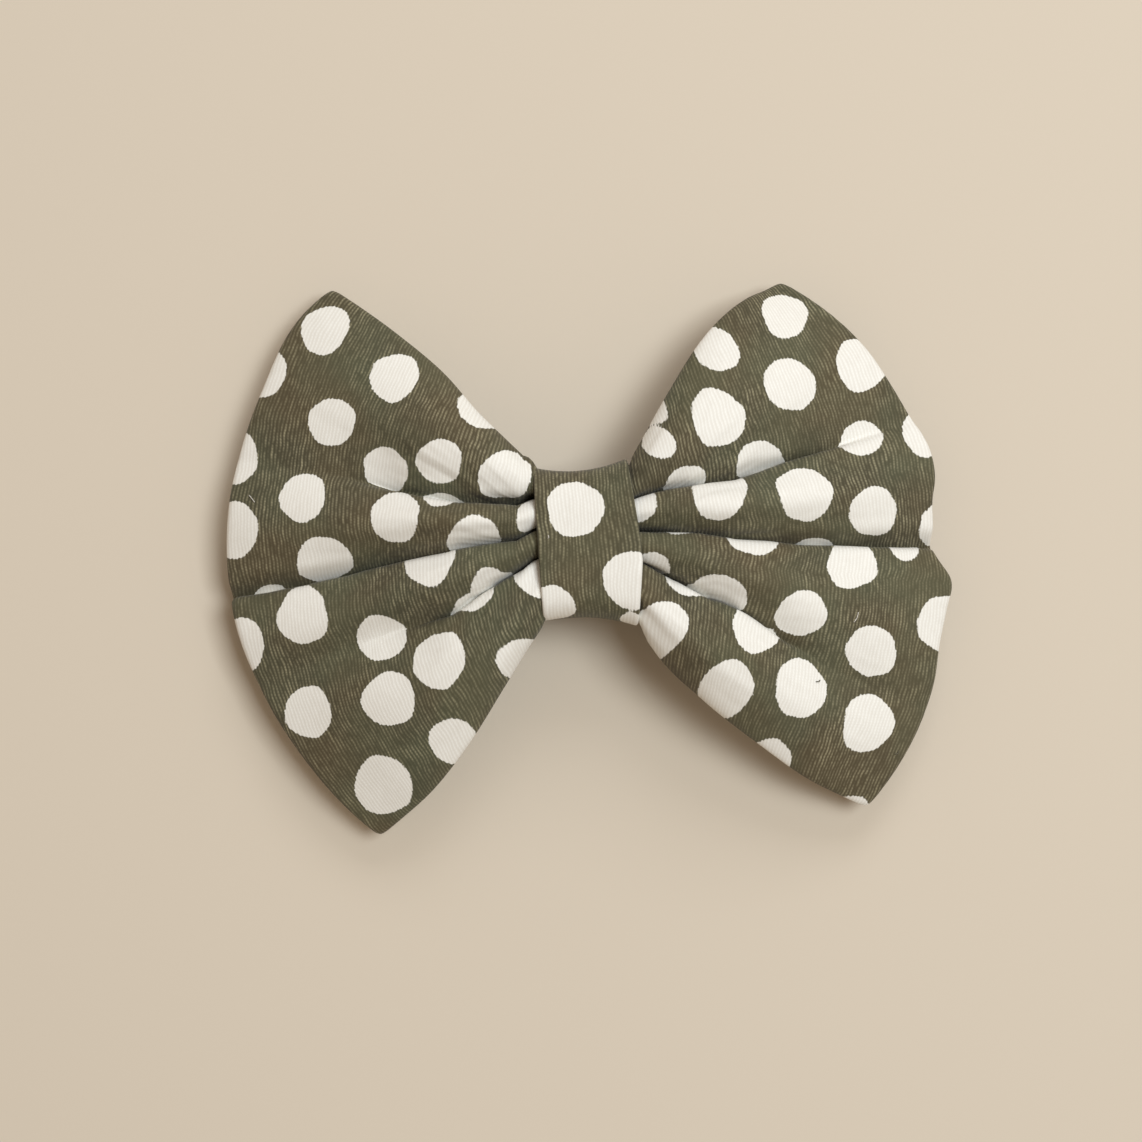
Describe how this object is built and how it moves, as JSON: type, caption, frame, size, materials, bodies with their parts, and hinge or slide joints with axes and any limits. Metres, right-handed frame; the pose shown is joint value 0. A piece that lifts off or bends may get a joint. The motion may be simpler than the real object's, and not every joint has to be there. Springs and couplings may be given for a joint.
{
  "type": "hair bow",
  "caption": "Pinched fabric hair bow with a wrapped centre band, glued and stitched onto a spring alligator clip.",
  "frame": {"origin": "under the middle of the bow, on the surface that its clip lies on", "axes": "+Z out of the face of the bow, +X from the left wing to the right wing, +Y towards the upper corners"},
  "size_m": [0.127, 0.097, 0.0242],
  "materials": {
    "dotted_cotton": "woven olive cotton printed with off-white dots",
    "interfacing": "white fused non-woven",
    "thread": "twisted sewing thread",
    "ribbon": "ribbed grosgrain",
    "hot_glue": "translucent set glue",
    "plated_steel": "satin nickel plate",
    "spring_steel": "drawn wire"
  },
  "bodies": {
    "bow": {"front_panel": "dotted_cotton", "back_panel": "dotted_cotton", "front_interfacing": "interfacing", "back_interfacing": "interfacing", "seam_thread": "thread", "gather_thread": "thread", "centre_band": "dotted_cotton", "band_interfacing": "interfacing", "band_stitches": "thread", "glue_pad": "hot_glue", "clip_ribbon": "ribbon", "clip_top_lever": "plated_steel", "clip_spring": "spring_steel", "clip_hinge_pin": "plated_steel"},
    "lower_lever": {"clip_bottom_lever": "plated_steel"}
  },
  "joints": [
    {"name": "clip_open", "type": "hinge", "parent": "bow", "child": "lower_lever", "pos_m": [0.013, 0.0025, 0.0066], "axis": [0, -1, 0], "range_deg": [0, 20], "stiffness_Nm_per_rad": 0.13, "springref_deg": -34.38, "deforming": ["clip_spring"]}
  ]
}
